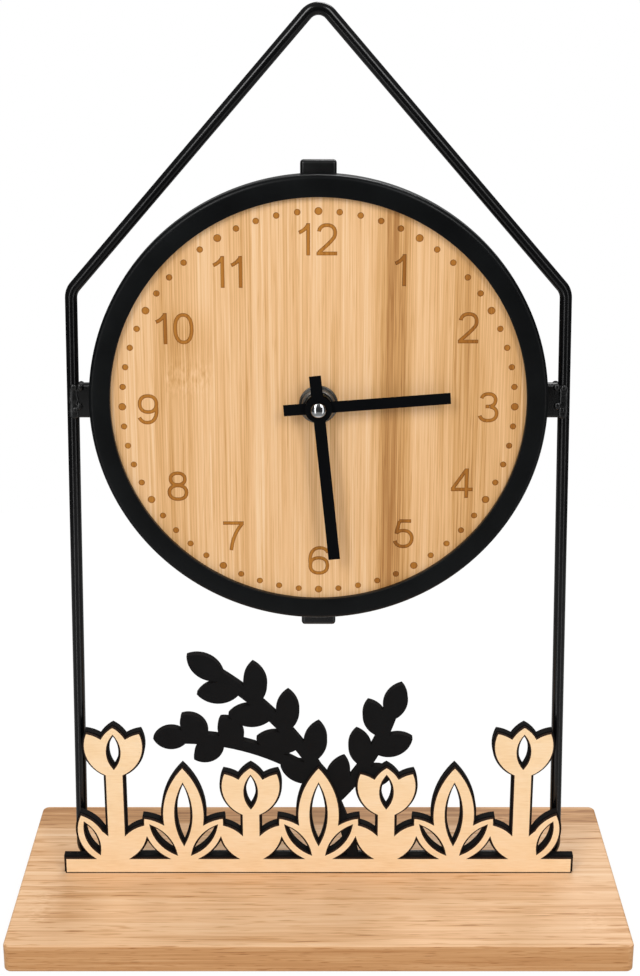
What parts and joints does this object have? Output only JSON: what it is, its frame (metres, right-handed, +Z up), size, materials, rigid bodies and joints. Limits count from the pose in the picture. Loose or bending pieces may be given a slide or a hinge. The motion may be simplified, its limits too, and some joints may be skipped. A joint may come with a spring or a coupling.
{
  "type": "desk clock",
  "caption": "Free-standing quartz desk clock: round bamboo dial in a black ring, held in a house-shaped wire frame on a board behind a cut-out ornament.",
  "frame": {"origin": "centre of the board's underside", "axes": "+X to the viewer's right, +Y to the back, +Z up; the dial faces -Y"},
  "size_m": [0.21, 0.095, 0.3094],
  "materials": {
    "bamboo_board": "light bamboo, fine sanded, clear matt lacquer, grain along the width",
    "bamboo_dial": "light bamboo strips, upright grain, engraved and scorched minute dots and numbers",
    "wood_veneer": "pale smooth wood, scorched cut edges",
    "black_fibreboard": "matt black painted board",
    "black_enamel": "black semi-gloss powder coat",
    "black_satin_paint": "black satin powder coat",
    "black_hand_paint": "matt black paint on thin aluminium",
    "polished_steel": "polished, nickel plated",
    "plain_steel": "turned, fine rings",
    "zinc_steel": "zinc plated",
    "bush_brass": "turned brass, threaded",
    "pipe_brass": "turned brass",
    "black_rubber": "plain black rubber",
    "black_plastic": "moulded black plastic, fine spark-eroded texture",
    "white_acetal": "natural moulded acetal",
    "black_acetal": "black moulded acetal",
    "magnet_nickel": "nickel plated magnet",
    "soft_iron": "stamped soft iron",
    "copper_wire": "fine enamelled copper wire",
    "green_laminate": "solder-masked laminate",
    "crystal_can": "drawn tin-plated can",
    "cell_sleeve": "plain printed sleeve with a bare steel nub",
    "contact_steel": "nickel plated spring strip"
  },
  "bodies": {
    "stand": {"base_board": "bamboo_board", "wire_frame": "black_enamel", "frame_studs": "zinc_steel", "stud_washers": "zinc_steel", "stud_nuts": "zinc_steel", "left_lug": "black_enamel", "right_lug": "black_enamel", "top_lug": "black_enamel", "bottom_lug": "black_enamel", "dial_screws": "zinc_steel", "clock_ring": "black_satin_paint", "dial": "bamboo_dial", "threaded_bush": "bush_brass", "rubber_washer": "black_rubber", "dial_washer": "plain_steel", "lock_nut": "plain_steel", "movement_case": "black_plastic", "movement_cover": "black_plastic", "gear_plate": "white_acetal", "stator": "soft_iron", "coil_core": "soft_iron", "coil_bobbin": "white_acetal", "coil_winding": "copper_wire", "circuit_board": "green_laminate", "quartz_crystal": "crystal_can", "battery_cell": "cell_sleeve", "positive_contact": "contact_steel", "negative_contact": "contact_steel", "ornament_backing": "black_fibreboard", "ornament_face": "wood_veneer"},
    "minute_hand": {"minute_pipe": "pipe_brass", "minute_hand": "black_hand_paint", "cap_nut": "polished_steel"},
    "hour_hand": {"hour_wheel": "black_acetal", "hour_hand": "black_hand_paint"},
    "setting_wheel": {"setting_wheel": "white_acetal", "setting_knob": "black_plastic"},
    "rotor": {"rotor_pinion": "white_acetal", "rotor_magnet": "magnet_nickel"},
    "intermediate_wheel": {"intermediate_wheel": "white_acetal"},
    "seconds_wheel": {"seconds_wheel": "white_acetal"},
    "third_wheel": {"third_wheel": "white_acetal"},
    "centre_wheel": {"centre_wheel": "white_acetal"}
  },
  "joints": [
    {"name": "minute_hand_turn", "type": "hinge", "parent": "stand", "child": "minute_hand", "pos_m": [0, 0.01, 0.1825], "axis": [0, 1, 0], "continuous": true},
    {"name": "hour_hand_turn", "type": "hinge", "parent": "stand", "child": "hour_hand", "pos_m": [0, 0.01, 0.1825], "axis": [0, 1, 0], "continuous": true},
    {"name": "setting_wheel_turn", "type": "hinge", "parent": "stand", "child": "setting_wheel", "pos_m": [-0.01, 0.01, 0.1825], "axis": [0, 1, 0], "continuous": true},
    {"name": "rotor_turn", "type": "hinge", "parent": "stand", "child": "rotor", "pos_m": [0.01303, 0.01, 0.18628], "axis": [0, 1, 0], "continuous": true},
    {"name": "intermediate_wheel_turn", "type": "hinge", "parent": "stand", "child": "intermediate_wheel", "pos_m": [0.00655, 0.01, 0.18628], "axis": [0, 1, 0], "continuous": true},
    {"name": "seconds_wheel_turn", "type": "hinge", "parent": "stand", "child": "seconds_wheel", "pos_m": [0, 0.01, 0.1825], "axis": [0, 1, 0], "continuous": true},
    {"name": "third_wheel_turn", "type": "hinge", "parent": "stand", "child": "third_wheel", "pos_m": [0, 0.01, 0.19168], "axis": [0, 1, 0], "continuous": true},
    {"name": "centre_wheel_turn", "type": "hinge", "parent": "stand", "child": "centre_wheel", "pos_m": [0, 0.01, 0.1825], "axis": [0, 1, 0], "continuous": true}
  ],
  "couplings": [
    {"joint": "hour_hand_turn", "follows": "minute_hand_turn", "ratio": 0.083333},
    {"joint": "setting_wheel_turn", "follows": "minute_hand_turn", "ratio": -0.33333},
    {"joint": "intermediate_wheel_turn", "follows": "rotor_turn", "ratio": -0.2},
    {"joint": "seconds_wheel_turn", "follows": "rotor_turn", "ratio": 0.033333},
    {"joint": "third_wheel_turn", "follows": "rotor_turn", "ratio": -0.0044444},
    {"joint": "centre_wheel_turn", "follows": "rotor_turn", "ratio": 0.00055556}
  ]
}
